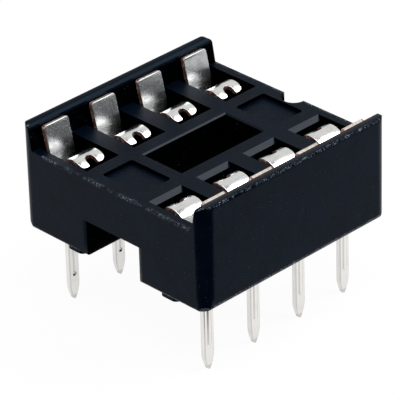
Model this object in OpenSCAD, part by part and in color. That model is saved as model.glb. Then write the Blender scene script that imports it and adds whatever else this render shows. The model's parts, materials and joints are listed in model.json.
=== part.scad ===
// Dual-in-line integrated circuit socket with stamped dual-leaf contacts.
// X runs across the two rows, Y along them and Z up. The tails stand on z = 0.
// Shapes of one contact are drawn for the +X row and mirrored for the other row.

/* [Layout] */
// Contacts in each row
row_count = 4; // [3:1:8]
// Distance between neighbouring contacts of a row
pitch = 2.54; // [2.3:0.02:2.8]
// Distance between the two rows of tails
row_spacing = 7.62; // [7.3:0.02:8.4]
// From a row's centre line to the outer face of its side wall
side_margin = 1.27; // [1.16:0.01:1.6]
// From the last contact's centre to the end face
end_margin = 1.27; // [1.15:0.01:1.6]

/* [Housing] */
// Height of the stand-offs under the housing
standoff_h = 0.4; // [0.2:0.05:0.6]
// Height of the deck above the housing's underside
deck_h = 3.55; // [3.4:0.05:4.2]
// Height of the side walls above the deck
wall_rise = 1.05; // [0.8:0.05:1.4]
// Radius of the upright corners
corner_r = 0.55; // [0.2:0.05:0.7]
// Radius of the lower edges along the sides
bottom_r = 0.35; // [0.1:0.05:0.5]
// Radius of the lower edges across the ends
end_r = 0.16; // [0.04:0.01:0.2]
// Height of the bevels that take off the lower corners
corner_bevel = 0.25; // [0.1:0.05:0.4]
// Radius of the outer edges of the wall tops
top_r = 0.12; // [0.05:0.01:0.2]
// Radius of the upper edges at the ends of the walls
end_top_r = 0.25; // [0.1:0.01:0.3]
// Width of the channel under the deck
channel_w = 2.44; // [2.3:0.02:2.8]
// Radius that flares the channel's mouths in the ends
mouth_r = 0.45; // [0.2:0.05:0.6]
// Height of the channel under the deck
channel_h = 1.6; // [1:0.02:1.8]
// Radius of the corners under the channel's roof
channel_r = 0.25; // [0.1:0.05:0.5]
// Radius of the inner lower edges of the legs
leg_r = 0.4; // [0.2:0.05:0.55]

/* [Deck] */
// Width of the central window
window_w = 2.1; // [1.4:0.05:2.4]
// Length of the central window
window_l = 4.5; // [3:0.05:4.8]
// Bevel round the window's upper rim
window_bevel = 0.06; // [0.02:0.01:0.12]
// Radius of the half-round polarity notch
notch_r = 0.53; // [0.3:0.01:0.6]
// Width of the bare sunk panels beside the window
panel_w = 2.2; // [1.6:0.05:2.4]
// Length of the sunk panels
panel_l = 1.6; // [1:0.05:1.7]
// Depth of the sunk panels
panel_d = 0.16; // [0.05:0.01:0.3]
// Corner radius of the sunk panels
panel_r = 0.12; // [0.05:0.01:0.3]
// From the end face to the sunk panel
panel_margin = 0.62; // [0.55:0.01:0.7]

/* [Stand-offs] */
// Length of a stand-off across the socket
standoff_l = 0.95; // [0.7:0.05:1.2]
// Width of a stand-off along the socket
standoff_w = 0.5; // [0.3:0.05:0.6]
// From the middle plane to a stand-off's centre
standoff_x = 2.62; // [2.55:0.01:2.75]
// From the end face to a stand-off's centre
standoff_inset = 0.62; // [0.6:0.01:0.75]

/* [Pockets] */
// Width of a contact's pocket along the row
pocket_w = 1.74; // [1.5:0.02:1.9]
// From the row's centre line to the pocket's inner face
pocket_reach = 1.91; // [1.85:0.01:1.98]
// Width and depth of the chamfer along the pocket's inner edge
lead_in = 0.18; // [0.1:0.01:0.25]
// Depth of the pocket's shelf under the deck
shelf_d = 1.0; // [0.85:0.05:1.2]
// Depth of the foot of the ramp under the deck
ramp_d = 1.8; // [1.6:0.05:2]
// Room between the leaf's foot and the pocket's deep part
foot_room = 0.2; // [0.1:0.01:0.3]

/* [Contact strip] */
// Thickness of the strip
strip_t = 0.2; // [0.15:0.01:0.22]
// Width of the blade and of the leaf
strip_w = 1.27; // [1:0.01:1.4]
// Mean radius of the bend between blade and leaf
bend_r = 0.3; // [0.25:0.01:0.34]
// Length of the upright foot of the leaf
foot_l = 0.1; // [0.07:0.01:0.3]
// Gap at the bend line that lets the leaf turn
bend_gap = 0.05; // [0.045:0.005:0.06]

/* [Blade] */
// Lean of the blade towards the wall
blade_lean = 10; // [6:0.5:12]
// Height of the blade's upright part above the bend
blade_knee_h = 1.1; // [0.8:0.05:1.4]
// Mean radius of the blade's knee
knee_r = 1; // [0.5:0.1:2]
// From the wall's top down to the blade's top
blade_drop = 0.15; // [0.05:0.01:0.4]

/* [Leaf] */
// Gap between blade and leaf where the chip's lead is held
throat_gap = 0.16; // [0.1:0.01:0.25]
// Mean radius of the leaf at the throat
throat_r = 0.5; // [0.3:0.05:0.6]
// Mean radius of the leaf's foot curve
foot_r = 0.5; // [0.3:0.05:0.8]
// Lean of the leaf between its foot and the throat
foot_lean = 15; // [12:0.5:20]
// Mean radius of the arch
arch_r = 0.59; // [0.45:0.01:0.65]
// From the row's centre line to the arch's crest
crest_reach = 1.07; // [0.95:0.01:1.12]
// Height of the arch's crest above the deck
crest_rise = 0; // [-0.1:0.01:0.1]
// Slope of the arch where it goes down to the throat
arch_out = 52; // [46:1:60]
// Slope of the arch at the prongs' ends
arch_in = 50; // [40:1:54]
// Width of the slot between the prongs
slot_w = 0.45; // [0.3:0.01:0.6]
// From the crest to the slot's root
slot_root = 0.04; // [0:0.01:0.15]
// Radius of the prongs' outer corners
prong_r = 0.2; // [0.05:0.01:0.24]
// Radius of the prongs' corners beside the slot
fork_r = 0.05; // [0.02:0.01:0.08]

/* [Tails] */
// Length of the tails under the stand-offs
tail_l = 3.05; // [2.8:0.05:4]
// Width of a tail
tail_w = 0.5; // [0.4:0.01:0.6]
// Thickness of a tail
tail_t = 0.24; // [0.2:0.01:0.3]
// Length of a tail's tapered point
point_l = 0.75; // [0.5:0.05:1]
// Radius of a tail's point
point_r = 0.1; // [0.06:0.01:0.15]
// Radius of the stiffening bead
bead_r = 0.13; // [0.08:0.01:0.15]
// Height of the bead above the tail's outer face
bead_h = 0.06; // [0.03:0.01:0.07]
// From the tail's tip to the bead's lower end
bead_start = 1.15; // [1:0.05:1.5]
// Radius of the groove behind the bead
groove_r = 0.05; // [0.03:0.01:0.07]
// Radius of the dimple at the groove's lower end
dimple_r = 0.09; // [0.06:0.01:0.1]
// Width of the shoulders that hold the contact in the housing
shoulder_w = 0.9; // [0.7:0.01:1.1]
// Height of the shoulders
shoulder_h = 0.5; // [0.3:0.05:0.6]

/* [Fits] */
// Gap between the blade's back and the wall
wall_fit = 0.02; // [0.01:0.005:0.05]
// Gap all round a shoulder in its slot
slot_fit = 0.02; // [0.01:0.005:0.05]
// Gap between the bend and the pocket's floor
floor_fit = 0.02; // [0.01:0.005:0.05]

/* [Hidden] */
$fn = 48;
// Step of the arcs in a strip's outline, in degrees
arc_step = 6;
// Extra length by which a cut passes through a face
cut = 0.5;
contact_count = 2 * row_count;

body_w = row_spacing + 2 * side_margin;
body_l = (row_count - 1) * pitch + 2 * end_margin;
row_x = row_spacing / 2;
seat_z = tail_l;
base_z = seat_z + standoff_h;
deck_z = base_z + deck_h;
top_z = deck_z + wall_rise;
roof_z = base_z + channel_h;

// The leaf's mean line, worked out from the crest down to the bend.
crest = [row_x - crest_reach, deck_z + crest_rise - strip_t / 2];
arch_c = crest - [0, arch_r];
arch_end = arch_c + arch_r * [sin(arch_out), cos(arch_out)];
blade_x = row_x + bend_r;
throat_c_x = blade_x - strip_t - throat_gap - throat_r;
slope_l = (throat_c_x + throat_r * sin(arch_out) - arch_end[0]) / cos(arch_out);
throat_start = arch_end + slope_l * [cos(arch_out), -sin(arch_out)];
throat_c = throat_start - throat_r * [sin(arch_out), cos(arch_out)];
throat_end = throat_c + throat_r * [cos(foot_lean), -sin(foot_lean)];
foot_x = row_x - bend_r;
shank_l = (throat_end[0] - foot_x - foot_r * (1 - cos(foot_lean))) / sin(foot_lean);
foot_c = [foot_x + foot_r, throat_end[1] - shank_l * cos(foot_lean) - foot_r * sin(foot_lean)];
bend_z = foot_c[1] - foot_l;

// The blade's mean line, from the bend up to its top.
knee_z = bend_z + blade_knee_h;
knee_c = [blade_x + knee_r, knee_z];
knee_end = knee_c + knee_r * [-cos(blade_lean), sin(blade_lean)];
blade_top_z = top_z - blade_drop;
blade_l = (blade_top_z - knee_end[1]) / cos(blade_lean) - strip_t / 2 * tan(blade_lean);
blade_end = knee_end + blade_l * [sin(blade_lean), cos(blade_lean)];

// The wall's inner face lies behind the blade.
back_offset = (strip_t / 2 + wall_fit) / cos(blade_lean);
floor_z = bend_z - bend_r - strip_t / 2 - floor_fit;
pocket_x = row_x - pocket_reach;
pocket_out = blade_x + strip_t / 2 + wall_fit;

// The bead's centre line lies just inside the tail's outer face.
bead_x = row_x + tail_t / 2 + bead_h - bead_r;
tail_top = bend_z - bend_r;

// Row that a contact stands in, -1 or +1, counted round from the notch
function row_sign(k) = k <= row_count ? -1 : 1;

// Place of a contact along its row
function row_y(k) = row_sign(k) * ((k - 1) % row_count - (row_count - 1) / 2) * pitch;

// Inner face of the wall at a height, along the blade's back
function wall_x(z) = knee_end[0] + (z - knee_end[1]) * tan(blade_lean) + back_offset;

// Points of an arc about c, from angle a to angle b
function arc(c, r, a, b) =
    let (steps = max(1, ceil(abs(b - a) / arc_step)))
    [for (i = [0:steps]) let (t = a + (b - a) * i / steps) c + r * [cos(t), sin(t)]];

// Points of a list in reverse order
function reversed(list) = [for (i = [len(list) - 1:-1:0]) list[i]];

// One edge of the leaf, at a distance from its mean line towards the blade
function leaf_edge(side) = concat(
    [[foot_x + side, bend_z + bend_gap]],
    arc(foot_c, foot_r - side, 180, 180 - foot_lean),
    arc(throat_c, throat_r + side, -foot_lean, 90 - arch_out),
    arc(arch_c, arch_r + side, 90 - arch_out, 90 + arch_in)
);

// One edge of the blade, at a distance from its mean line towards the wall
function blade_edge(side) = concat(
    [[blade_x + side, bend_z]],
    arc(knee_c, knee_r - side, 180, 180 - blade_lean),
    [blade_end + side * [cos(blade_lean), -sin(blade_lean)]]
);

// Puts a shape of the +X row at a contact's place
module place(k) {
    translate([0, row_y(k), 0])
        mirror([row_sign(k) < 0 ? 1 : 0, 0, 0])
            children();
}

// Extrudes an outline in X and Z along Y, centred on the row's contact
module along_y(l) {
    rotate([90, 0, 0])
        linear_extrude(l, center = true)
            children();
}

// Extrudes an outline in Y and Z along X, centred on the middle plane
module along_x(l) {
    rotate([90, 0, 90])
        linear_extrude(l, center = true)
            children();
}

// Rectangle from the ground line up, with its own radius below and above
module rounded_block(w, h, low_r, high_r) {
    for (s = [-1, 1]) {
        translate([s * (w / 2 - low_r), low_r]) circle(low_r);
        translate([s * (w / 2 - high_r), h - high_r]) circle(high_r);
    }
    translate([low_r - w / 2, 0]) square([w - 2 * low_r, h - high_r]);
    translate([high_r - w / 2, low_r]) square([w - 2 * high_r, h - low_r]);
    translate([-w / 2, low_r]) square([w, h - low_r - high_r]);
}

// Wedge left between a right angle and the arc that rounds it
module corner_wedge(r) {
    difference() {
        translate([-cut, -cut]) square(r + cut);
        translate([r, r]) circle(r);
    }
}

// Cross-section of the housing: two legs, the deck and two leaning side walls
module housing_section() {
    difference() {
        translate([0, base_z]) rounded_block(body_w, deck_h + wall_rise, bottom_r, top_r);
        polygon([
            [-wall_x(deck_z), deck_z],
            [wall_x(deck_z), deck_z],
            [wall_x(top_z + cut), top_z + cut],
            [-wall_x(top_z + cut), top_z + cut]
        ]);
        translate([0, base_z - cut]) rounded_block(channel_w, channel_h + cut, channel_r, channel_r);
        for (s = [0, 1])
            mirror([s, 0])
                translate([channel_w / 2, base_z])
                    corner_wedge(leg_r);
    }
}

// Side view of the housing, with its rounded lower and upper ends
module housing_side() {
    translate([0, base_z]) rounded_block(body_l, deck_h + wall_rise, end_r, end_top_r);
}

// Plan of the housing with its rounded upright corners
module housing_plan() {
    translate([0, -body_l / 2]) rounded_block(body_w, body_l, corner_r, corner_r);
}

// Bevel under one upright corner: it starts where the corner's arc ends and is highest on the diagonal
module lower_bevel() {
    arc_reach = corner_r * cos(45);
    bevel_slope = corner_bevel / (corner_r - arc_reach);
    translate([body_w / 2 - corner_r, body_l / 2 - corner_r, base_z])
        rotate([0, 0, 45])
            along_y(2 * corner_r)
                polygon([
                    [arc_reach - cut, -cut * bevel_slope],
                    [arc_reach + cut, -cut * bevel_slope],
                    [arc_reach + cut, cut * bevel_slope]
                ]);
}

// Plan of what flares the channel's mouth at one end
module mouth_plan() {
    for (s = [0, 1])
        mirror([s, 0])
            translate([channel_w / 2, body_l / 2])
                mirror([0, 1])
                    corner_wedge(mouth_r);
}

// Pocket of one contact: a chamfer, a shelf under the prongs, a ramp and the deep part round the bend
module pocket() {
    foot_face = foot_x - strip_t / 2 - foot_room;
    along_y(pocket_w)
        polygon([
            [pocket_x - lead_in, deck_z + cut],
            [pocket_x - lead_in, deck_z],
            [pocket_x, deck_z - lead_in],
            [pocket_x, deck_z - shelf_d],
            [foot_face, deck_z - ramp_d],
            [foot_face, floor_z],
            [pocket_out, floor_z],
            [pocket_out, knee_z],
            [wall_x(knee_end[1]), knee_end[1]],
            [wall_x(deck_z + cut), deck_z + cut]
        ]);
}

// Slot through the pocket's floor for the shoulders and the bead
module tail_slot() {
    slot_h = floor_z - base_z + 2 * cut;
    slot_size = [tail_t + 2 * slot_fit, shoulder_w + 2 * slot_fit, slot_h];
    translate([row_x, 0, base_z - cut + slot_h / 2]) cube(slot_size, center = true);
    translate([bead_x, 0, base_z - cut]) cylinder(r = bead_r + slot_fit, h = slot_h);
}

// Central window with a bevelled upper rim
module window() {
    rim = window_bevel + cut;
    intersection() {
        along_y(body_l) window_side(window_w, rim);
        along_x(body_w) window_side(window_l, rim);
    }
}

// Upright outline of the window, widened from the bevel upwards
module window_side(w, rim) {
    polygon([
        [-w / 2, roof_z - cut],
        [w / 2, roof_z - cut],
        [w / 2, deck_z - window_bevel],
        [w / 2 + rim, deck_z - window_bevel + rim],
        [-w / 2 - rim, deck_z - window_bevel + rim],
        [-w / 2, deck_z - window_bevel]
    ]);
}

// Sunk panel at one end of the deck
module panel() {
    translate([0, body_l / 2 - panel_margin - panel_l, deck_z - panel_d])
        linear_extrude(panel_d + cut)
            rounded_block(panel_w, panel_l, panel_r, panel_r);
}

// Stand-off with round ends, one at each corner
module standoff() {
    translate([standoff_x, body_l / 2 - standoff_inset, seat_z])
        linear_extrude(standoff_h + cut)
            standoff_outline();
}

// Outline of a stand-off seen from below
module standoff_outline() {
    run = (standoff_l - standoff_w) / 2;
    for (s = [-1, 1])
        translate([s * run, 0]) circle(standoff_w / 2);
    square([2 * run, standoff_w], center = true);
}

// Upright outline of a tail with its tapered, rounded point
module tail_outline() {
    inset = tail_w / 2 - point_r;
    side_r = (pow(point_l - point_r, 2) + pow(inset, 2)) / (2 * inset);
    translate([0, point_r]) circle(point_r);
    intersection() {
        translate([-tail_w / 2, point_r]) square([tail_w, point_l - point_r]);
        translate([tail_w / 2 - side_r, point_l]) circle(side_r, $fn = 96);
        translate([side_r - tail_w / 2, point_l]) circle(side_r, $fn = 96);
    }
    translate([-tail_w / 2, point_l]) square([tail_w, tail_top - point_l]);
    translate([-shoulder_w / 2, tail_top - shoulder_h]) square([shoulder_w, shoulder_h]);
}

// Tail with its outer bead, inner groove and dimple
module tail() {
    bead_l = tail_top - bead_start;
    difference() {
        union() {
            translate([row_x, 0, 0]) along_x(tail_t) tail_outline();
            translate([bead_x, 0, bead_start]) cylinder(r = bead_r, h = bead_l);
            translate([bead_x, 0, bead_start]) sphere(bead_r);
        }
        translate([row_x - tail_t / 2, 0, bead_start]) cylinder(r = groove_r, h = bead_l - shoulder_h);
        translate([row_x - tail_t / 2, 0, bead_start]) sphere(dimple_r);
    }
}

// Half-round bend under the blade, on the axis that the leaf turns about
module bend() {
    outer_r = bend_r + strip_t / 2;
    translate([row_x, 0, bend_z])
        along_y(strip_w)
            difference() {
                circle(outer_r);
                circle(bend_r - strip_t / 2);
                translate([-outer_r - cut, 0]) square([2 * (outer_r + cut), outer_r + cut]);
            }
}

// Black moulded housing
module housing() {
    color("#12171e")
        difference() {
            union() {
                intersection() {
                    along_y(body_l) housing_section();
                    along_x(body_w) housing_side();
                    translate([0, 0, base_z]) linear_extrude(deck_h + wall_rise) housing_plan();
                }
                for (sx = [0, 1])
                    for (sy = [0, 1])
                        mirror([sx, 0, 0])
                            mirror([0, sy, 0])
                                standoff();
            }
            for (k = [1:contact_count])
                place(k) {
                    pocket();
                    tail_slot();
                }
            window();
            for (sx = [0, 1])
                for (sy = [0, 1])
                    mirror([sx, 0, 0])
                        mirror([0, sy, 0])
                            lower_bevel();
            for (sy = [0, 1])
                mirror([0, sy, 0]) {
                    panel();
                    translate([0, 0, base_z - cut]) linear_extrude(channel_h + cut) mouth_plan();
                }
            translate([0, body_l / 2, roof_z - cut])
                cylinder(r = notch_r, h = deck_z - roof_z + 2 * cut);
        }
}

// Fixed part of one tin-plated contact: blade, bend and tail
module contact(k) {
    color("#c4c7c9")
        place(k) {
            along_y(strip_w)
                polygon(concat(blade_edge(-strip_t / 2), reversed(blade_edge(strip_t / 2))));
            bend();
            tail();
        }
}

// Sprung part of one contact: shank, throat and forked arch
module spring_leaf(k) {
    color("#d6d8d9")
        place(k)
            difference() {
                along_y(strip_w)
                    polygon(concat(leaf_edge(-strip_t / 2), reversed(leaf_edge(strip_t / 2))));
                fork_cut();
            }
}

// What is cut away to leave two prongs with rounded ends
module fork_cut() {
    tip_x = arch_c[0] - (arch_r + strip_t / 2) * sin(arch_in);
    root_x = crest[0] - slot_root - slot_w / 2;
    cut_h = 2 * arch_r;
    translate([root_x, 0, arch_c[1]]) cylinder(r = slot_w / 2, h = cut_h);
    translate([tip_x - cut, -slot_w / 2, arch_c[1]]) cube([root_x - tip_x + cut, slot_w, cut_h]);
    for (s = [0, 1])
        mirror([0, s, 0])
            for (edge = [[slot_w / 2, 0, fork_r], [strip_w / 2, 1, prong_r]])
                translate([tip_x, edge[0], arch_c[1]])
                    mirror([0, edge[1], 0])
                        linear_extrude(cut_h)
                            corner_wedge(edge[2]);
}

housing();
for (k = [1:contact_count]) {
    contact(k);
    spring_leaf(k);
}
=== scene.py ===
"""Dresses the dip socket: moulded housing, stamped contacts, sprung leaves and a plain studio stage.

The sizes repeat the part's own, in metres. X runs across the two rows, Y along them and Z up.
Shapes of one contact are worked out for the +X row and mirrored for the other row.
"""
import json
from math import cos, pi, radians, sin, tan

import bmesh
import bpy
import numpy as np
from bpy.props import FloatProperty, FloatVectorProperty, PointerProperty
from mathutils import Matrix, Vector


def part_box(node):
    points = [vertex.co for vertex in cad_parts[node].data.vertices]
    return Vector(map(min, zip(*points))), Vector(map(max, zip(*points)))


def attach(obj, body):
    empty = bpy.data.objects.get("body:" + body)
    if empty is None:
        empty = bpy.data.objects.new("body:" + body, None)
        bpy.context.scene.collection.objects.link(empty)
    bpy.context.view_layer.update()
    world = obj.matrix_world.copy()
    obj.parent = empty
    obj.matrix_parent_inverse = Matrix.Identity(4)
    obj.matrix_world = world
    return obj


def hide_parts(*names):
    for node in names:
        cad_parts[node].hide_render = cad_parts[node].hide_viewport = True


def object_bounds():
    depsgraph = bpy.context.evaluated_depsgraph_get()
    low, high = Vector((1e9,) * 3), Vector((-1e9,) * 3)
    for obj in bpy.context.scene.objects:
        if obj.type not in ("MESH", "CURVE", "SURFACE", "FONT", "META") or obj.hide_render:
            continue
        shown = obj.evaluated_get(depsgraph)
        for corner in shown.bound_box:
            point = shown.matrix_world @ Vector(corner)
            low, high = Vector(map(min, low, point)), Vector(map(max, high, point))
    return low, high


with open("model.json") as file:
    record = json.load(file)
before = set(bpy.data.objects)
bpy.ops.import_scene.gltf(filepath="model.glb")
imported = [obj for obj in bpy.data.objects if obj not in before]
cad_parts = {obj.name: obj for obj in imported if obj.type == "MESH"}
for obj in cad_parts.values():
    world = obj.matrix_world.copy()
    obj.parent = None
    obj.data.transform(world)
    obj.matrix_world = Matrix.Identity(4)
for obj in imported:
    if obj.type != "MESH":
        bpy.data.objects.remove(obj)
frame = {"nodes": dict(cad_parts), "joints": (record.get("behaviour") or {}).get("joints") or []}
CAD_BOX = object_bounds()

bl_info = {
    "name": "Dip Socket",
    "version": (1, 0, 0),
    "blender": (4, 5, 0),
    "location": "View3D > Sidebar > Socket",
    "description": "Builds the looks of a dual-in-line socket around its packed model",
    "category": "Mesh",
}

# The leaves' hinges give the rows, the places along them and the height of the bends.
HINGES = {joint["child"].removeprefix("leaf_"): Vector(joint["pos_m"]) for joint in frame["joints"]}
ROW_X = max(hinge.x for hinge in HINGES.values())
BEND_Z = max(hinge.z for hinge in HINGES.values())
BLADE_TOP_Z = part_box("contact_1")[1].z

# The arches' crests are level with the deck, and the ends are the whole socket's.
DECK_Z = max(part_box(f"spring_leaf_{number}")[1].z for number in HINGES)
END_Y = CAD_BOX[1][1]

# Finishes of the housing and of the stampings, by their numbers.
# The finish of the recesses is painted shade: upright inner faces of the housing are near black and almost
# glossless.
SKIN, RECESS_SHADE, DECK, CHAMFER = range(4)
PLATED, CUT, TAIL, SHADE, TOP, BLADE = range(6)

# Points closer than this are one point, in the housing and in the finer stampings.
MERGE = 1e-7
FINE_MERGE = 2e-8

# The housing's faces that turn by less than this are one face.
FLAT_TURN = radians(0.4)

# Edges that turn by more than a crease are sharp.
HOUSING_CREASE = radians(25)
STRIP_CREASE = radians(50)

# Limits on a housing face's unit normal: its rise is 1 on a level face, its plan part 1 on an upright one.
LEVEL_RISE = 0.99
DECK_RISE = 0.95
CHAMFER_RISE = 0.8
WALL_RISE = 0.6
WEAR_AND_HIGHLIGHT_RISE = (0.2, 0.97)
OUTWARD_PLAN = 0.1
SKEW_PLAN = 0.2

# Stations along a strip that agree to this many decimals of a metre are one.
STATION_DECIMALS = 9

# Bends are drawn in steps of a fine turn, and other round forms in a number of steps.
FINE_TURN = radians(4)
EDGE_STEPS = 3
BLADE_CORNER_STEPS = 6
ROOT_STEPS = 10
PRONG_STEPS = 8
FORK_STEPS = 4
TIP_STEPS = 8
TAPER_STEPS = 13
BALL_STEPS = 9
DIMPLE_STEPS = 12
UPPER_STEPS = 8
TAIL_COLUMNS = 26

# How much of the plastic's colour is hidden by dusty specks, and by pale rubs on its edges,
# which are wear and painted highlight.
SPECK_COVER = 0.15
RUB_AND_HIGHLIGHT_COVER = 0.7

# Streaks in the tin are noise whose coordinates are squeezed along the axis that the strip was drawn on.
STREAK_SQUEEZE = 0.06

# The plain white share of the floor, and how much of it gloss sees.
FLOOR_WHITE = 0.95
FLOOR_IN_GLOSS = 0.82


def length(name, description, default):
    """A size in metres."""
    return FloatProperty(name=name, description=description, default=default, unit="LENGTH", precision=6)


def angle(name, description, degrees):
    """An angle, given in degrees and kept in radians."""
    return FloatProperty(name=name, description=description, default=radians(degrees), subtype="ANGLE")


def part_of(name, description, default):
    """A share of another size, from 0 to 1."""
    return FloatProperty(name=name, description=description, default=default, min=0, max=1, subtype="FACTOR")


def colour(name, description, default):
    """A linear colour."""
    return FloatVectorProperty(name=name, description=description, default=default, subtype="COLOR", size=3)


class SocketSizes(bpy.types.PropertyGroup):
    """Sizes of the stampings, of the housing's walls and of their pale edges, which are wear and painted
    highlight.
    """

    skin: length("Skin depth", "Depth under the outer faces past which faces count as inner ones", 0.0011)
    wall_chamfer: length("Wall chamfer", "Width of the chamfer along the walls' inner top edges", 0.00008)
    brow: length("Brow", "Height of the plain band at the top of the walls", 0.0002)
    hem: length("Hem", "Height of the band at the bottom of the housing", 0.001)
    # The rubbed band along the ends' upper edges is wear and painted highlight.
    rub_and_highlight_core: length("Rub core", "Distance from an end's upper edge that is rubbed most", 0.00002)
    rub_and_highlight_reach: length("Rub reach", "Distance from an end's upper edge that is rubbed at all", 0.00016)
    rub_and_highlight_past: length("Rub past the row", "How far the rubbed edge goes on past a row's centre line", 0.0005)
    strip_t: length("Strip thickness", "Thickness of the strip", 0.0002)
    strip_w: length("Strip width", "Width of the blade and of the leaf", 0.00127)
    edge_r: length("Edge radius", "Radius that tumbling leaves on a stamped edge", 0.000022)
    bend_r: length("Bend radius", "Mean radius of the bend between blade and leaf", 0.0003)
    bend_gap: length("Bend gap", "Gap at the bend line that lets the leaf turn", 0.00005)
    blade_corner_r: length("Blade corner", "Radius of the blade's upper corners", 0.00012)
    knee_h: length("Knee height", "Height of the blade's upright part above the bend", 0.0018)
    knee_r: length("Knee radius", "Mean radius of the blade's knee", 0.001)
    blade_lean: angle("Blade lean", "Lean of the blade towards the wall", 14)
    foot_l: length("Foot length", "Length of the upright foot of the leaf", 0.0001)
    foot_r: length("Foot radius", "Mean radius of the leaf's foot curve", 0.0005)
    foot_lean: angle("Foot lean", "Lean of the leaf between its foot and the throat", 15)
    throat_gap: length("Throat gap", "Gap between blade and leaf where a lead is held", 0.00016)
    throat_r: length("Throat radius", "Mean radius of the leaf at the throat", 0.0005)
    arch_r: length("Arch radius", "Mean radius of the arch", 0.00059)
    arch_out: angle("Arch rise", "Slope of the arch where it goes down to the throat", 52)
    arch_in: angle("Arch fall", "Slope of the arch at the prongs' ends", 50)
    crest_reach: length("Crest reach", "From the row's centre line to the arch's crest", 0.00107)
    slot_w: length("Slot width", "Width of the slot between the prongs", 0.00045)
    slot_root: length("Slot root", "From the crest to the slot's root", 0.00009)
    prong_r: length("Prong corner", "Radius of the prongs' outer corners", 0.00022)
    fork_r: length("Fork corner", "Radius of the prongs' corners beside the slot", 0.00006)
    tail_w: length("Tail width", "Width of a tail", 0.0005)
    tail_t: length("Tail thickness", "Thickness of a tail", 0.00024)
    tail_edge_r: length("Tail edge radius", "Radius of a tail's long edges", 0.00004)
    point_l: length("Point length", "Length of a tail's tapered point", 0.00075)
    point_r: length("Point radius", "Radius of a tail's point", 0.0001)
    tip_share: part_of("Tip thickness", "Share of a tail's thickness that is left at its tip", 0.72)
    # Painted shade on the tails: grey tin at the point, on the bead's flanks, in the groove and on the edges.
    point_shade: part_of("Point shade", "Share of the point's length that is grey", 0.25)
    bead_r: length("Bead radius", "Radius of the stiffening bead", 0.00013)
    bead_h: length("Bead height", "Height of the bead above the tail's outer face", 0.00006)
    bead_start: length("Bead start", "From the tail's tip to the bead's lower end", 0.00115)
    flank_start: part_of("Flank start", "Share of the bead's radius at which its grey flank starts", 0.55)
    flank_end: part_of("Flank end", "Share of the bead's radius at which its grey flank ends", 0.95)
    groove_r: length("Groove radius", "Radius of the groove behind the bead", 0.00005)
    dimple_r: length("Dimple radius", "Radius of the dimple at the groove's lower end", 0.00009)
    shoulder_w: length("Shoulder width", "Width of the shoulders that hold the contact", 0.0009)
    shoulder_h: length("Shoulder height", "Height of the shoulders", 0.0005)


class SocketColours(bpy.types.PropertyGroup):
    """Colours of the finishes and of the stage."""

    plastic: colour("Plastic", "Deep tone of the moulded plastic", (0.0002, 0.0013, 0.004))
    plastic_pale: colour("Pale plastic", "Paler clouds in the moulded plastic", (0.0005, 0.0026, 0.0072))
    # Painted shade: the inner plastic and its clouds are near black, for the shade inside the recesses.
    plastic_recess_shade: colour("Inner plastic", "Plastic of the inner faces", (0.0001, 0.0002, 0.0003))
    plastic_recess_shade_pale: colour("Dim plastic", "Paler clouds in the inner plastic", (0.0002, 0.0004, 0.0006))
    sheen: colour("Sheen", "Tint of the plastic's gloss", (0.35, 0.66, 1))
    slide: colour("Slide", "Tint of the gloss on the chamfers that leads slide on", (0.75, 0.87, 1))
    # The pale colour of dusty specks and of rubbed edges, where it is wear and painted highlight.
    dust_and_highlight: colour("Dust", "Specks and worn edges of the plastic", (0.22, 0.24, 0.28))
    tin: colour("Tin", "Bright tin plating", (0.82, 0.81, 0.79))
    tin_dull: colour("Dull tin", "Duller streaks in the plating", (0.52, 0.52, 0.52))
    # Painted shade: this grey tin stands in for shade and dark reflections on the tails.
    tin_shade: colour("Shaded tin", "Grey tin beside the tails' beads and on their edges", (0.64, 0.61, 0.58))
    tin_blade: colour("Blade tin", "Tin of the blades, dulled by handling", (0.6, 0.615, 0.62))
    tin_stain: colour("Stained tin", "Darker stains on the blades", (0.34, 0.35, 0.355))
    copper: colour("Copper", "Sheared tops of the blades", (0.78, 0.58, 0.45))
    bronze: colour("Bronze", "Bare metal on cut edges", (0.27, 0.1, 0.07))
    floor: colour("Floor", "Plain pale floor", (0.9, 0.9, 0.9))
    surroundings: colour("Surroundings", "Even light from all round", (0.2, 0.21, 0.22))


class SocketView(bpy.types.PropertyGroup):
    """Where the camera stands, and the floor under the socket."""

    azimuth: angle("Azimuth", "Angle of the camera round the socket, from the near end", 45.985)
    elevation: angle("Elevation", "Angle of the camera above the horizon", 30.214)
    roll: angle("Roll", "Turn of the camera about its line of sight", -1.681)
    distance: length("Distance", "From the target to the camera", 0.13802)
    nearest: length("Nearest", "Distance from the camera at which things start to show", 0.005)
    lens: FloatProperty(name="Lens", description="Focal length, in millimetres", default=314.08)
    sensor: FloatProperty(name="Sensor", description="Width of the sensor, in millimetres", default=36)
    target: FloatVectorProperty(
        name="Target",
        description="Point that the camera looks at",
        default=(-0.000316, 0, 0.004264),
        unit="LENGTH",
    )
    floor_half: length("Floor", "From the floor's middle to its sides", 0.6)
    fade_start: length("Fade start", "From the middle to where the mirrored floor starts to darken", 0.0075)
    fade_end: length("Fade end", "From the middle to where the mirrored floor is dark", 0.0105)


def even_steps(start, end, count):
    """Places from start to end, both included, that are a number of even steps apart."""
    return np.linspace(start, end, count + 1)


def ball_height(r, *offsets):
    """Height of a circle or ball at offsets from its middle: sqrt(r^2 - their squares), and 0 outside it."""
    return np.sqrt(np.clip(r * r - sum(offset * offset for offset in offsets), 0, None))


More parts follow.
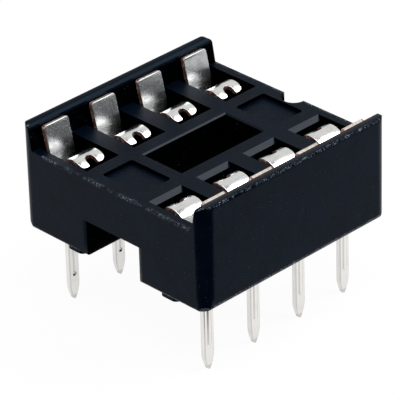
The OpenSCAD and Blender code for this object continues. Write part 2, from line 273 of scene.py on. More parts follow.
def walk(start, heading, runs, extra):
    """Mean line of a bent strip: each run is a length and the angle that it turns through.

    The heading grows evenly along a run, so each step is the chord of an arc: its length is the arc's length
    times sin(h) / h, where h is half the turn, and it points along the mean heading. Steps are summed from
    the start. Returns distance, heading and point at each station, the extra ones included.
    """
    lengths, turns = np.array(runs, float).T
    ends = np.concatenate([[0], np.cumsum(lengths)])
    bearings = heading + np.concatenate([[0], np.cumsum(turns)])
    pieces = np.ceil(np.abs(turns) / FINE_TURN).astype(int) + 1
    inner = [even_steps(*run) for run in zip(ends[:-1], ends[1:], pieces)]
    along = np.unique(np.round(np.concatenate([*inner, extra]), STATION_DECIMALS))
    bearing = np.interp(along, ends, bearings)
    turn = np.diff(bearing)
    middle = bearing[:-1] + turn / 2
    chord = np.diff(along) * np.sinc(turn / (2 * pi))
    steps = chord[:, None] * np.column_stack([np.cos(middle), np.sin(middle)])
    points = np.array(start) + np.vstack([np.zeros(2), np.cumsum(steps, axis=0)])
    return along, bearing, points


def rounded_section(low, high, half, low_r, high_r, columns=1):
    """Loop round a strip at each station: a rectangle with round corners.

    It reaches from low to high and from -half to half. Each corner is a quarter circle about a centre that
    lies one radius in from both sides. Each wide face has a number of even columns between its corners.
    Returns widths and heights as arrays of stations by columns.
    """
    low, high, half, low_r, high_r = np.broadcast_arrays(*np.atleast_1d(low, high, half, low_r, high_r))
    quarter = even_steps(0, pi / 2, EDGE_STEPS)
    # Each corner's side and radius, and which ways are in from that side and up.
    corners = [
        (high, high_r, -1, 1),
        (low, low_r, 1, 1),
        (low, low_r, 1, -1),
        (high, high_r, -1, -1),
    ]
    loops = []
    for turn, (side, r, inward, up) in enumerate(corners):
        swing = quarter + turn * pi / 2
        wide = (side + inward * r)[:, None] + r[:, None] * np.cos(swing)
        tall = (up * (half - r))[:, None] + r[:, None] * np.sin(swing)
        loops.append((wide, tall))
    spread = even_steps(0, 1, columns)[1:-1]

    def face(a, b):
        """Even columns between the end of one corner and the start of the next."""
        return tuple(p[:, -1:] + (q[:, :1] - p[:, -1:]) * spread for p, q in zip(a, b))

    parts = [loops[0], face(loops[0], loops[1]), loops[1], loops[2], face(loops[2], loops[3]), loops[3]]
    return np.hstack([p[0] for p in parts]), np.hstack([p[1] for p in parts])


def carry(points, bearing, wide, tall):
    """Carries a section along a mean line in X and Z.

    Heights go along the line's left normal, which is (-sin, cos) of the heading, and widths along Y.
    """
    normal = np.column_stack([-np.sin(bearing), np.cos(bearing)])
    x = points[:, :1] + tall * normal[:, :1]
    z = points[:, 1:] + tall * normal[:, 1:]
    return np.stack([x, wide, z], axis=2)


def tube_faces(stations, columns, keep):
    """The quads to keep between neighbouring rings of a closed loop, and the first and last rings as caps."""
    ring = np.arange(stations * columns).reshape(stations, columns)
    ahead = np.roll(ring, -1, axis=1)
    quads = np.stack([ring[:-1], ahead[:-1], ahead[1:], ring[1:]], axis=2)[keep]
    return [*quads.tolist(), ring[0][::-1].tolist(), ring[-1].tolist()]


class Shell:
    """Gathers the grids of one piece: points, faces and the finish of each face."""

    def __init__(self):
        self.points, self.faces, self.finishes, self.count = [], [], [], 0

    def add(self, grid, finish, end_finish, keep=None):
        """Adds a ringed grid with a finish for each quad and one for its caps; keep says which quads stay."""
        stations, columns = grid.shape[:2]
        keep = np.ones(finish.shape, bool) if keep is None else keep
        faces = tube_faces(stations, columns, keep)
        self.faces += [[i + self.count for i in face] for face in faces]
        self.finishes += [*finish[keep].tolist(), end_finish, end_finish]
        self.points.append(grid.reshape(-1, 3))
        self.count += stations * columns

    def piece(self, name, place, materials):
        """Makes the object at a contact's place: mirrored for the -X row and with normals outwards."""
        points = np.concatenate(self.points) * [np.sign(place.x), 1, 1] + [0, place.y, 0]
        mesh = bpy.data.meshes.new(name)
        mesh.from_pydata(points, [], self.faces)
        mesh.polygons.foreach_set("material_index", np.array(self.finishes, np.int32))
        for material in materials:
            mesh.materials.append(material)
        work = bmesh.new()
        work.from_mesh(mesh)
        bmesh.ops.remove_doubles(work, verts=work.verts, dist=FINE_MERGE)
        bmesh.ops.dissolve_degenerate(work, edges=work.edges, dist=FINE_MERGE)
        bmesh.ops.recalc_face_normals(work, faces=work.faces)
        work.to_mesh(mesh)
        work.free()
        return add_object(name, mesh, STRIP_CREASE)


def add_object(name, mesh, crease, flat=False):
    """Links a mesh as a smooth object whose edges are sharp where they turn by more than a crease.

    Normals are weighted by area, and the faces that flat marks keep their own.
    """
    mesh.set_sharp_from_angle(angle=crease)
    mesh.polygons.foreach_set("use_smooth", ~np.resize(flat, len(mesh.polygons)))
    piece = bpy.data.objects.new(name, mesh)
    bpy.context.scene.collection.objects.link(piece)
    weighted = piece.modifiers.new("weighted", "WEIGHTED_NORMAL")
    weighted.keep_sharp = True
    return piece


def round_end(along, end, r):
    """How far an edge steps in near an end: by a quarter circle of radius r, from one radius before it."""
    gone = np.clip(r - np.abs(end - along), 0, r)
    return r - ball_height(r, gone)


def quarter_stations(end, r, sign, steps):
    """Stations near an end, spaced evenly round a quarter circle of radius r; sign says which way is in."""
    return end + sign * r * (1 - np.sin(even_steps(0, pi / 2, steps)))


def strip_finish(stations, columns, faces, cut_columns):
    """Finish of each quad of a strip: one on its faces, and bare metal on the cut columns."""
    finish = np.full((stations - 1, columns), faces)
    finish[:, cut_columns] = CUT
    return finish


def blade_shell(size, shell):
    """Bend and blade: the strip's section carried half round the bend, up to the knee and along the blade.

    The leaning length follows from the height of the blade's top: it is (top - knee end) / cos(lean), less
    half the thickness times tan(lean), by which the lean lifts one face above the mean line's end.
    """
    knee_end_z = BEND_Z + size.knee_h + size.knee_r * sin(size.blade_lean)
    blade_l = (BLADE_TOP_Z - knee_end_z) / cos(size.blade_lean) - size.strip_t / 2 * tan(size.blade_lean)
    runs = [
        (pi * size.bend_r, pi),
        (size.knee_h, 0),
        (size.knee_r * size.blade_lean, -size.blade_lean),
        (blade_l, 0),
    ]
    total = sum(run[0] for run in runs)
    stations = np.concatenate([
        quarter_stations(0, size.edge_r, 1, EDGE_STEPS),
        quarter_stations(total, size.blade_corner_r, -1, BLADE_CORNER_STEPS),
        quarter_stations(total, size.edge_r, -1, EDGE_STEPS),
    ])
    along, bearing, points = walk((ROW_X - size.bend_r, BEND_Z), -pi / 2, runs, stations)
    inset = np.maximum(round_end(along, 0, size.edge_r), round_end(along, total, size.edge_r))
    side = size.strip_w / 2 - np.maximum(inset, round_end(along, total, size.blade_corner_r))
    wide, tall = rounded_section(-side, side, size.strip_t / 2 - inset, size.edge_r, size.edge_r)
    columns = wide.shape[1]
    finish = strip_finish(len(along), columns, BLADE, [columns // 2 - 1, columns - 1])
    shell.add(carry(points, bearing, wide, tall), finish, TOP)


def tail_shell(size, shell):
    """Tail: a straight strip whose half width, outer face and inner face are functions of width and height.

    The half width is a circle at the tip, then a long arc up to the full width, and the shoulders at the top.
    The bead raises the outer face to a cylinder with a ball end, and a smaller cylinder and ball sink the
    inner face behind it.
    """
    top = BEND_Z - size.bend_r
    inset = size.tail_w / 2 - size.point_r
    side_r = ((size.point_l - size.point_r) ** 2 + inset**2) / (2 * inset)
    shoulder = top - size.shoulder_h
    stations = np.concatenate([
        size.point_r * (1 - np.cos(even_steps(0, pi / 2, TIP_STEPS))),
        even_steps(size.point_r, size.point_l, TAPER_STEPS),
        size.bead_start - size.bead_r * np.sin(even_steps(0, pi / 2, BALL_STEPS)),
        size.bead_start + size.dimple_r * np.sin(even_steps(-pi / 2, pi / 2, DIMPLE_STEPS)),
        [shoulder, shoulder + size.tail_edge_r],
        even_steps(size.bead_start, top, UPPER_STEPS),
    ])
    along, bearing, points = walk((ROW_X, 0), pi / 2, [(top, 0)], stations)

    round_tip = ball_height(size.point_r, size.point_r - along)
    long_arc = size.tail_w / 2 - side_r + ball_height(side_r, np.clip(size.point_l - along, 0, None))
    half_w = np.where(along < size.point_r, round_tip, long_arc)
    widening = np.clip((along - shoulder) / size.tail_edge_r, 0, 1)
    half_w = half_w + widening * (size.shoulder_w - size.tail_w) / 2
    half_t = size.tail_t / 2 * np.interp(along, [0, size.point_l], [size.tip_share, 1])
    edge = np.minimum(size.tail_edge_r, half_w / 2)
    wide, tall = rounded_section(-half_w, half_w, half_t, edge, edge, TAIL_COLUMNS)

    above = (along - size.bead_start)[:, None]
    under = np.clip(-above, 0, None)
    bead_axis = size.tail_t / 2 + size.bead_h - size.bead_r
    raised = np.where(under < size.bead_r, bead_axis + ball_height(size.bead_r, wide, under), 0)
    dimple = ball_height(size.dimple_r, wide, above)
    groove = ball_height(size.groove_r, wide) * (above >= 0)
    sunk = np.maximum(dimple, groove) * (along < shoulder)[:, None]
    tall = np.where(tall > 0, tall - sunk, np.minimum(tall, -raised))
    finish = tail_finish(size, along, half_w - edge, wide, tall)
    shell.add(carry(points, bearing, wide, tall), finish, TAIL)


def tail_finish(size, along, flat, wide, tall):
    """Finish of each quad of a tail: painted shade on the bead's flanks, in the groove, on the edges and at
    the point.

    The grey tin there stands in for shade and dark reflections. A quad lies as far out as the mean of its two
    sides. The edges start where the flat half width ends.
    """
    next_tall = np.roll(tall, -1, axis=1)
    out = np.abs(wide + np.roll(wide, -1, axis=1))[:-1] / 2
    inner = tall[:-1] > 0
    height = (along[:-1] + along[1:])[:, None] / 2
    beaded = height > size.bead_start
    flank = (out > size.flank_start * size.bead_r) & (out < size.flank_end * size.bead_r)
    edge = (out > flat[:-1, None]) & (next_tall != tall)[:-1]
    edge &= np.abs(tall + next_tall)[:-1] > size.tail_t - 2 * size.tail_edge_r
    grey = beaded & np.where(inner, out < size.groove_r, flank)
    return np.where(grey | edge | (height < size.point_shade * size.point_l), SHADE, TAIL)


def leaf_shell(size, shell):
    """Leaf: foot, shank, throat, slope and arch, in two halves that part at the slot's root.

    Before the root a half runs from the middle line to the side. After it the inner edge follows the root's
    half circle, y = sqrt(r^2 - (r - d)^2) at a distance d past the root, and both edges round off at the
    prong's end.
    """
    arch_x = ROW_X - size.crest_reach + size.arch_r * sin(size.arch_out)
    throat_x = ROW_X + size.bend_r - size.strip_t - size.throat_gap - size.throat_r
    slope_l = (throat_x + size.throat_r * sin(size.arch_out) - arch_x) / cos(size.arch_out)
    foot_x = ROW_X - size.bend_r
    lean_x = throat_x + size.throat_r * cos(size.foot_lean) - foot_x - size.foot_r * (1 - cos(size.foot_lean))
    throat_turn = size.foot_lean + pi / 2 - size.arch_out
    runs = [
        (size.foot_l - size.bend_gap, 0),
        (size.foot_r * size.foot_lean, -size.foot_lean),
        (lean_x / sin(size.foot_lean), 0),
        (size.throat_r * throat_turn, throat_turn),
        (slope_l, 0),
        (size.arch_r * (size.arch_out + size.arch_in), size.arch_out + size.arch_in),
    ]
    total = sum(run[0] for run in runs)
    root = total - size.arch_r * size.arch_in + size.slot_root
    slot_r = size.slot_w / 2
    stations = np.concatenate([
        root + slot_r * (1 - np.cos(even_steps(0, pi / 2, ROOT_STEPS))),
        quarter_stations(total, size.prong_r, -1, PRONG_STEPS),
        quarter_stations(total, size.fork_r, -1, FORK_STEPS),
        quarter_stations(total, size.edge_r, -1, EDGE_STEPS),
    ])
    along, bearing, points = walk((foot_x, BEND_Z + size.bend_gap), pi / 2, runs, stations)
    past = np.clip(along - root, 0, slot_r)
    inner = ball_height(slot_r, slot_r - past)
    low = inner + round_end(along, total, size.fork_r)
    high = size.strip_w / 2 - round_end(along, total, size.prong_r)
    half = size.strip_t / 2 - round_end(along, total, size.edge_r)
    low_r = np.minimum(size.edge_r, inner / 2)
    wide, tall = rounded_section(low, high, half, low_r, size.edge_r)
    columns = wide.shape[1]
    slot_column = columns // 2 - 1
    finish = strip_finish(len(along), columns, PLATED, [slot_column, columns - 1])
    finish[along[:-1] > total - size.edge_r] = CUT
    keep = np.ones(finish.shape, bool)
    keep[along[1:] <= root, slot_column] = False
    for side in (1, -1):
        shell.add(carry(points, bearing, side * wide, tall), finish, CUT, keep)


def put(tree, kind, settings=None, **inputs):
    """Adds a node. An input takes a value, or a link where it is given a socket.

    In an input's name _ stands for a space, and _ with a number is the input of that number.
    """
    made = tree.nodes.new(kind)
    for key, value in (settings or {}).items():
        setattr(made, key, value)
    for key, value in inputs.items():
        socket = made.inputs[int(key[1:])] if key[1:].isdigit() else made.inputs[key.replace("_", " ")]
        if isinstance(value, bpy.types.NodeSocket):
            tree.links.new(value, socket)
        else:
            socket.default_value = value
    return made


def start_material(name):
    """A new material with its shader, its tree and the object's own coordinates."""
    material = bpy.data.materials.new(name)
    material.use_nodes = True
    tree = material.node_tree
    shader = tree.nodes["Principled BSDF"]
    place = put(tree, "ShaderNodeTexCoord").outputs["Object"]
    return material, tree, shader, place


def noise(tree, place, scale, detail):
    """Noise with about scale features in a metre, and finer ones in a number of layers."""
    made = put(tree, "ShaderNodeTexNoise", Vector=place, Scale=scale, Detail=detail, Roughness=0.55)
    return made.outputs[0]


def ramp(tree, value, low, high, to_low=0.0, to_high=1.0):
    """Maps a value from one range to another and clamps it."""
    ranges = {"From_Min": low, "From_Max": high, "To_Min": to_low, "To_Max": to_high}
    return put(tree, "ShaderNodeMapRange", {"clamp": True}, Value=value, **ranges).outputs[0]


def mix(tree, factor, a, b):
    """Blends two colours, each of which is a socket or three numbers.

    The node's colour sockets are taken by number, because its sockets for other kinds have the same names.
    """
    first, second = (end if isinstance(end, bpy.types.NodeSocket) else (*end, 1) for end in (a, b))
    made = put(tree, "ShaderNodeMix", {"data_type": "RGBA"}, _0=factor, _6=first, _7=second)
    return made.outputs[2]


def math(tree, operation, a, b):
    """Joins two values by a sum, product or the like."""
    return put(tree, "ShaderNodeMath", {"operation": operation}, _0=a, _1=b).outputs[0]


def bump(tree, height, distance, normal=None):
    """Turns a height from 0 to 1 into relief of a distance in metres."""
    made = put(tree, "ShaderNodeBump", Height=height, Distance=distance)
    if normal is not None:
        tree.links.new(normal, made.inputs["Normal"])
    return made.outputs[0]


# The rubbed upper edges of the ends are wear and painted highlight.
def end_edge(tree, place, size):
    """1 along the upper edges of the two ends, falling to 0 over a short way on the deck and on the end face.

    The distance from the edge is the larger of the distance from the end face and that from the deck's plane.
    """
    axes = put(tree, "ShaderNodeSeparateXYZ", Vector=place).outputs
    inward = math(tree, "SUBTRACT", END_Y, math(tree, "ABSOLUTE", axes["Y"], 0))
    off_deck = math(tree, "ABSOLUTE", math(tree, "SUBTRACT", axes["Z"], DECK_Z), 0)
    near = ramp(tree, math(tree, "MAXIMUM", inward, off_deck), size.rub_and_highlight_core, size.rub_and_highlight_reach, 1, 0)
    between = math(tree, "LESS_THAN", math(tree, "ABSOLUTE", axes["X"], 0), ROW_X + size.rub_and_highlight_past)
    return math(tree, "MULTIPLY", near, between)


def plastic_material(name, size, deep, pale, dust_and_highlight, rough, shine, tint):
    """Moulded black plastic: clouded navy black, fine grain, dusty specks, and pale edges of wear and painted
    highlight.
    """
    material, tree, shader, place = start_material(name)
    clouds = ramp(tree, noise(tree, place, scale=900, detail=3), low=0.35, high=0.65)
    waves = noise(tree, place, scale=1600, detail=2)
    grain = noise(tree, place, scale=9000, detail=3)
    specks = ramp(tree, noise(tree, place, scale=14000, detail=1), low=0.72, high=0.78)
    scuffs = ramp(tree, noise(tree, place, scale=13000, detail=4), low=0.48, high=0.64)
    patches = ramp(tree, noise(tree, place, scale=2400, detail=2), low=0.4, high=0.6)
    # Pale rubs on the marked edges are wear and painted highlight. The faint specks all over are dirt.
    wear_and_highlight = put(tree, "ShaderNodeAttribute", {"attribute_name": "wear_and_highlight"}).outputs["Fac"]
    wear_and_highlight = math(tree, "MAXIMUM", wear_and_highlight, end_edge(tree, place, size))
    rub_and_highlight = math(tree, "MULTIPLY", math(tree, "MULTIPLY", wear_and_highlight, scuffs), patches)
    faint = math(tree, "MULTIPLY", specks, SPECK_COVER)
    marks = math(tree, "MAXIMUM", faint, math(tree, "MULTIPLY", rub_and_highlight, RUB_AND_HIGHLIGHT_COVER))
    roughness = ramp(tree, grain, low=0.3, high=0.7, to_low=rough, to_high=rough + 0.12)
    relief = bump(tree, grain, distance=1.2e-6, normal=bump(tree, waves, distance=6e-6))
    tree.links.new(mix(tree, marks, mix(tree, clouds, deep, pale), dust_and_highlight), shader.inputs["Base Color"])
    tree.links.new(roughness, shader.inputs["Roughness"])
    tree.links.new(relief, shader.inputs["Normal"])
    shader.inputs["Specular IOR Level"].default_value = shine
    shader.inputs["Specular Tint"].default_value = (*tint, 1)
    return material


def plastic_materials(size, tone):
    """Finishes of the housing in the order of their numbers.

    The outside is smooth, recesses get painted shade as near-black plastic with almost no gloss, the deck is
    matt, and the chamfers that leads slide on are polished.
    """
    body = (size, tone.plastic, tone.plastic_pale, tone.dust_and_highlight)
    recess_shade = (size, tone.plastic_recess_shade, tone.plastic_recess_shade_pale, tone.dust_and_highlight)
    return [
        plastic_material("moulded_skin", *body, rough=0.18, shine=0.066, tint=tone.sheen),
        # Painted shade: the plastic of the recesses is near black and almost glossless.
        plastic_material("moulded_recess", *recess_shade, rough=0.18, shine=0.002, tint=tone.sheen),
        plastic_material("matt_deck", *body, rough=0.38, shine=0.066, tint=tone.sheen),
        plastic_material("polished_chamfer", *body, rough=0.18, shine=0.156, tint=tone.slide),
    ]


def tin_material(name, bright, dulled, drawn, rough, dulling):
    """Tin plating on rolled strip: bright and dull streaks along the axis it was drawn on, and patches."""
    material, tree, shader, place = start_material(name)
    stretch = put(tree, "ShaderNodeMapping", {"vector_type": "POINT"}, Vector=place)
    stretch.inputs["Scale"].default_value["XYZ".index(drawn)] = STREAK_SQUEEZE
    streaks = noise(tree, stretch.outputs[0], scale=22000, detail=3)
    patches = noise(tree, place, scale=2600, detail=3)
    streaked = ramp(tree, streaks, low=0.4, high=0.75)
    patched = ramp(tree, patches, low=0.35, high=0.7)
    dull = math(tree, "MULTIPLY", math(tree, "MULTIPLY", streaked, patched), dulling)
    roughness = ramp(tree, patches, low=0.3, high=0.7, to_low=rough - 0.04, to_high=rough + 0.05)
    tree.links.new(mix(tree, dull, bright, dulled), shader.inputs["Base Color"])
    tree.links.new(roughness, shader.inputs["Roughness"])
    tree.links.new(bump(tree, streaks, distance=1.5e-6), shader.inputs["Normal"])
    shader.inputs["Metallic"].default_value = 1
    return material


def cut_material(name, bare, tin, smeared, metallic):
    """Cut edge of the strip: bare metal where it tore, and smeared tin where the noise is above a level."""
    material, tree, shader, place = start_material(name)
    smear = ramp(tree, noise(tree, place, scale=7000, detail=3), low=smeared, high=smeared + 0.18)
    grain = noise(tree, place, scale=26000, detail=2)
    roughness = ramp(tree, grain, low=0.3, high=0.7, to_low=0.3, to_high=0.5)
    tree.links.new(mix(tree, smear, bare, tin), shader.inputs["Base Color"])
    tree.links.new(roughness, shader.inputs["Roughness"])
    tree.links.new(bump(tree, grain, distance=2e-6), shader.inputs["Normal"])
    shader.inputs["Metallic"].default_value = metallic
    return material


def metal_materials(tone):
    """Finishes of the stampings in the order of their numbers, made once and shared."""
    names = ("plated_strip", "cut_edge", "plated_tail", "shaded_tail", "sheared_top", "plated_blade")
    if names[0] not in bpy.data.materials:
        tin_material(names[PLATED], tone.tin, tone.tin_dull, drawn="Y", rough=0.2, dulling=1)
        cut_material(names[CUT], tone.bronze, tone.tin, smeared=0.52, metallic=0.6)
        tin_material(names[TAIL], tone.tin, tone.tin_dull, drawn="Z", rough=0.15, dulling=0.4)
        # Painted shade and reflection lines on the tails.
        tin_material(names[SHADE], tone.tin_shade, tone.tin_dull, drawn="Z", rough=0.2, dulling=0.6)
        cut_material(names[TOP], tone.copper, tone.tin, smeared=0.42, metallic=1)
        tin_material(names[BLADE], tone.tin_blade, tone.tin_stain, drawn="Y", rough=0.26, dulling=1)
    return [bpy.data.materials[name] for name in names]


def chamfer_walls(work, reach, size):
    """Cuts the inner top edge off each wall by a plane at 45 degrees and closes the cut with one face."""
    centres = {face: face.calc_center_median() for face in work.faces}
    for side in (-1, 1):
        tops = [face for face, at in centres.items() if at.z > reach.z - size.brow and at.x * side > 0]
        edges = dict.fromkeys(edge for face in tops for edge in face.edges)
        corners = dict.fromkeys(corner for face in tops for corner in face.verts)
        level = [face for face in tops if face.normal.z > LEVEL_RISE]
        inner_x = min(corner.co.x * side for face in level for corner in face.verts)
        cut = bmesh.ops.bisect_plane(
            work,
            geom=[*corners, *edges, *tops],
            plane_co=(side * (inner_x + size.wall_chamfer), 0, reach.z),
            plane_no=(-side, 0, 1),
            dist=MERGE,
            clear_outer=True,
        )
        rim = [part for part in cut["geom_cut"] if isinstance(part, bmesh.types.BMEdge)]
        closed = bmesh.ops.edgeloop_fill(work, edges=rim)
        if not closed["faces"]:
            raise RuntimeError("a wall's chamfer could not be closed")
    bmesh.ops.recalc_face_normals(work, faces=work.faces)


def face_vectors(mesh, name):
    """A vector of each face of a mesh, such as its centre, as one array."""
    vectors = np.empty(len(mesh.polygons) * 3)
    mesh.polygons.foreach_get(name, vectors)
    return vectors.reshape(-1, 3)


def mark_faces(mesh, reach, size):
    """Finishes each housing face, marks outer edges for wear and painted highlight, and returns which are
    flat.

    A face's reach is how far its plane lies from the middle in plan: its centre's plan vector along that of
    its normal. Faces that reach less far than the outside less a skin are inner ones, and the rise of their
    normal gives their finish. Sloping faces of the outside, apart from those at the upright corners, are
    marked
    for pale rubs: wear, and painted highlight on the rounded edges.
    """
    centres, normals = face_vectors(mesh, "center"), face_vectors(mesh, "normal")
    rise, flat_part = normals[:, 2], normals[:, :2]
    plan = np.linalg.norm(flat_part, axis=1)
    outward = plan > OUTWARD_PLAN
    out = (centres[:, :2] * flat_part).sum(axis=1) / np.where(outward, plan, 1)
    outside = outward & (out > min(reach.x, reach.y) - size.skin)
    inner = ~outside & (centres[:, 2] < reach.z - size.brow)
    straight = np.abs(flat_part).min(axis=1) < SKEW_PLAN
    least, most = WEAR_AND_HIGHLIGHT_RISE
    # Sloping outer faces are marked for pale rubs: wear, and painted highlight on the rounded edges.
    wear_and_highlight = outside & straight & (np.abs(rise) > least) & (np.abs(rise) < most)
    mesh.attributes.new("wear_and_highlight", "FLOAT", "FACE").data.foreach_set("value", wear_and_highlight.astype(np.float32))
    # Steep inner faces take the finish of the recesses, which is painted shade.
    slopes = [inner & (rise < WALL_RISE), inner & (rise < CHAMFER_RISE), inner & (rise > DECK_RISE)]
    finish = np.select(slopes, [RECESS_SHADE, CHAMFER, DECK], SKIN)
    mesh.polygons.foreach_set("material_index", finish.astype(np.int32))
    return (finish == DECK) | (finish == CHAMFER)


class SOCKET_OT_housing(bpy.types.Operator):
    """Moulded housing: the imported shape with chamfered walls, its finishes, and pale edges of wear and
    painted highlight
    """

    bl_idname = "socket.housing"
    bl_label = "Housing"

    def execute(self, context):
        size = context.scene.socket_sizes
        low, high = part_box("housing")
        work = bmesh.new()
        work.from_mesh(frame["nodes"]["housing"].data)
        bmesh.ops.remove_doubles(work, verts=work.verts, dist=MERGE)
        bmesh.ops.dissolve_limit(work, angle_limit=FLAT_TURN, verts=work.verts, edges=work.edges)
        # Bands at the top and the bottom keep the rounded edges' shading off the tall faces between them.
        for height in (low.z + size.hem, high.z - size.brow):
            bmesh.ops.bisect_plane(
                work,
                geom=[*work.verts, *work.edges, *work.faces],
                plane_co=(0, 0, height),
                plane_no=(0, 0, 1),
                dist=MERGE,
            )
        chamfer_walls(work, high, size)
        mesh = bpy.data.meshes.new("moulded_housing")
        work.to_mesh(mesh)
        work.free()
        for material in plastic_materials(size, context.scene.socket_colours):
            mesh.materials.append(material)
        flat = mark_faces(mesh, high, size)
        piece = add_object("moulded_housing", mesh, HOUSING_CREASE, flat)
        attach(piece, "socket")
        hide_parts("housing")
        return {"FINISHED"}


class SOCKET_OT_contacts(bpy.types.Operator):
    """Fixed parts of the stamped contacts: bend, leaning blade and beaded tail"""

    bl_idname = "socket.contacts"
    bl_label = "Contacts"

    def execute(self, context):
        size = context.scene.socket_sizes
        shell = Shell()
        blade_shell(size, shell)
        tail_shell(size, shell)
        materials = metal_materials(context.scene.socket_colours)
        for number, hinge in HINGES.items():
            piece = shell.piece(f"stamped_contact_{number}", hinge, materials)
            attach(piece, "socket")
            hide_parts(f"contact_{number}")
        return {"FINISHED"}


class SOCKET_OT_leaves(bpy.types.Operator):
    """Sprung leaves with their forked arches, each on its own hinge"""

    bl_idname = "socket.leaves"
    bl_label = "Leaves"

    def execute(self, context):
        size = context.scene.socket_sizes
        shell = Shell()
        leaf_shell(size, shell)
        materials = metal_materials(context.scene.socket_colours)
        for number, hinge in HINGES.items():
            piece = shell.piece(f"forked_leaf_{number}", hinge, materials)
            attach(piece, f"leaf_{number}")
            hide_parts(f"spring_leaf_{number}")
        return {"FINISHED"}


def floor_material(view, tone):
    """Pale floor: part diffuse, so that it keeps a shadow, and part plain white to camera, gloss and glass.

    In reflections it fades out in front of the near corner, so that upright edges mirror a dark front.
    """
    material = bpy.data.materials.new("pale_floor")
    material.use_nodes = True
    tree = material.node_tree
    tree.nodes.clear()
    path = put(tree, "ShaderNodeLightPath").outputs
    place = put(tree, "ShaderNodeTexCoord").outputs["Object"]
    near_corner = (sin(pi / 4), -sin(pi / 4), 0)
    ahead = put(tree, "ShaderNodeVectorMath", {"operation": "DOT_PRODUCT"}, _0=place, _1=near_corner)
    dark = ramp(tree, ahead.outputs["Value"], view.fade_start, view.fade_end)
    level = math(tree, "SUBTRACT", 1, math(tree, "MULTIPLY", path["Is Glossy Ray"], dark))
    direct = math(tree, "MAXIMUM", path["Is Camera Ray"], path["Is Transmission Ray"])
    mirrored = math(tree, "MULTIPLY", path["Is Glossy Ray"], FLOOR_IN_GLOSS)
    share = math(tree, "MULTIPLY", math(tree, "MAXIMUM", direct, mirrored), FLOOR_WHITE)
    tint = mix(tree, level, (0, 0, 0), tone.floor)
    diffuse = put(tree, "ShaderNodeBsdfDiffuse", Color=tint).outputs[0]
    white = put(tree, "ShaderNodeEmission", Color=(1, 1, 1, 1), Strength=level).outputs[0]
    surface = put(tree, "ShaderNodeMixShader", _0=share, _1=diffuse, _2=white).outputs[0]
    under = put(tree, "ShaderNodeNewGeometry").outputs["Backfacing"]
    clear = put(tree, "ShaderNodeBsdfTransparent").outputs[0]
    shown = put(tree, "ShaderNodeMixShader", _0=under, _1=surface, _2=clear).outputs[0]
    put(tree, "ShaderNodeOutputMaterial", Surface=shown)
    return material


def lay_floor(view, tone):
    """Square floor under the tails' tips."""
    half = view.floor_half
    corners = [(-half, -half, 0), (half, -half, 0), (half, half, 0), (-half, half, 0)]
    mesh = bpy.data.meshes.new("floor")
    mesh.from_pydata(corners, [], [(0, 1, 2, 3)])
    mesh.materials.append(floor_material(view, tone))
    floor = bpy.data.objects.new("floor", mesh)
    bpy.context.scene.collection.objects.link(floor)


def softbox(name, target, towards, distance, width, power):
    """Square soft light that looks at the target from a direction."""
    lamp = bpy.data.lights.new(name, "AREA")
    lamp.shape = "SQUARE"
    lamp.size = width
    lamp.energy = power
    light = bpy.data.objects.new(name, lamp)
    direction = Vector(towards).normalized()
    light.location = target + direction * distance
    light.rotation_euler = direction.to_track_quat("Z", "Y").to_euler()
    bpy.context.scene.collection.objects.link(light)


def aim_camera(view):
    """Camera on a ray from the target, turned by the roll about its line of sight."""
    back = Vector((
        sin(view.azimuth) * cos(view.elevation),
        -cos(view.azimuth) * cos(view.elevation),
        sin(view.elevation),
    ))
    right = (-back).cross(Vector((0, 0, 1))).normalized()
    up = right.cross(-back)
    turned = cos(view.roll) * right + sin(view.roll) * up
    up = cos(view.roll) * up - sin(view.roll) * right
    data = bpy.data.cameras.new("camera")
    data.lens = view.lens
    data.sensor_width = view.sensor
    data.clip_start = view.nearest
    camera = bpy.data.objects.new("camera", data)
    axes = Matrix((turned, up, back)).transposed().to_4x4()
    camera.matrix_world = Matrix.Translation(Vector(view.target) + back * view.distance) @ axes
    bpy.context.scene.collection.objects.link(camera)
    bpy.context.scene.camera = camera


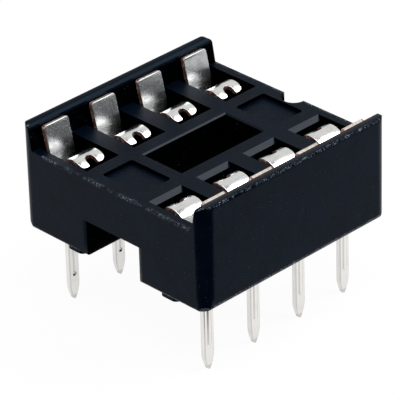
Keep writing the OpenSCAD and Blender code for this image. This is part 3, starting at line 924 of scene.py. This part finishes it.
class SOCKET_OT_stage(bpy.types.Operator):
    """Pale floor, soft lights, even surroundings and the camera"""

    bl_idname = "socket.stage"
    bl_label = "Stage"

    def execute(self, context):
        scene = context.scene
        view, tone = scene.socket_view, scene.socket_colours
        scene.view_settings.view_transform = "Standard"
        lay_floor(view, tone)

        world = bpy.data.worlds.new("surroundings")
        world.use_nodes = True
        world.node_tree.nodes["Background"].inputs["Color"].default_value = (*tone.surroundings, 1)
        scene.world = world

        at = Vector(view.target)
        softbox("key_light", at, towards=(0.5, 0.6, 0.65), distance=0.3, width=0.22, power=0.78)
        softbox("top_light", at, towards=(0.15, -0.25, 1), distance=0.35, width=0.25, power=0.7)
        softbox("front_light", at, towards=(-0.4, -0.9, 0.5), distance=0.4, width=0.3, power=0.5)
        softbox("back_light", at, towards=(-0.5, 0.65, 0.55), distance=0.45, width=0.6, power=0.65)
        aim_camera(view)
        return {"FINISHED"}


class SOCKET_PT_panel(bpy.types.Panel):
    """Lists the pieces of the socket and its stage"""

    bl_label = "Dip Socket"
    bl_space_type = "VIEW_3D"
    bl_region_type = "UI"
    bl_category = "Socket"

    def draw(self, context):
        for operator in OPERATORS:
            self.layout.operator(operator.bl_idname)


OPERATORS = (SOCKET_OT_housing, SOCKET_OT_contacts, SOCKET_OT_leaves, SOCKET_OT_stage)
GROUPS = {"socket_sizes": SocketSizes, "socket_colours": SocketColours, "socket_view": SocketView}


def register():
    """Registers the classes and gives the scene its sizes, colours and view."""
    for made in (*GROUPS.values(), *OPERATORS, SOCKET_PT_panel):
        bpy.utils.register_class(made)
    for name, group in GROUPS.items():
        setattr(bpy.types.Scene, name, PointerProperty(type=group))


def unregister():
    """Takes away what register gave, in the other order."""
    for name in GROUPS:
        delattr(bpy.types.Scene, name)
    for made in (SOCKET_PT_panel, *reversed(OPERATORS), *reversed(GROUPS.values())):
        bpy.utils.unregister_class(made)


def main():
    """Registers the classes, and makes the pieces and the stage."""
    register()
    bpy.ops.socket.housing()
    bpy.ops.socket.contacts()
    bpy.ops.socket.leaves()
    bpy.ops.socket.stage()


if __name__ == "__main__":
    main()
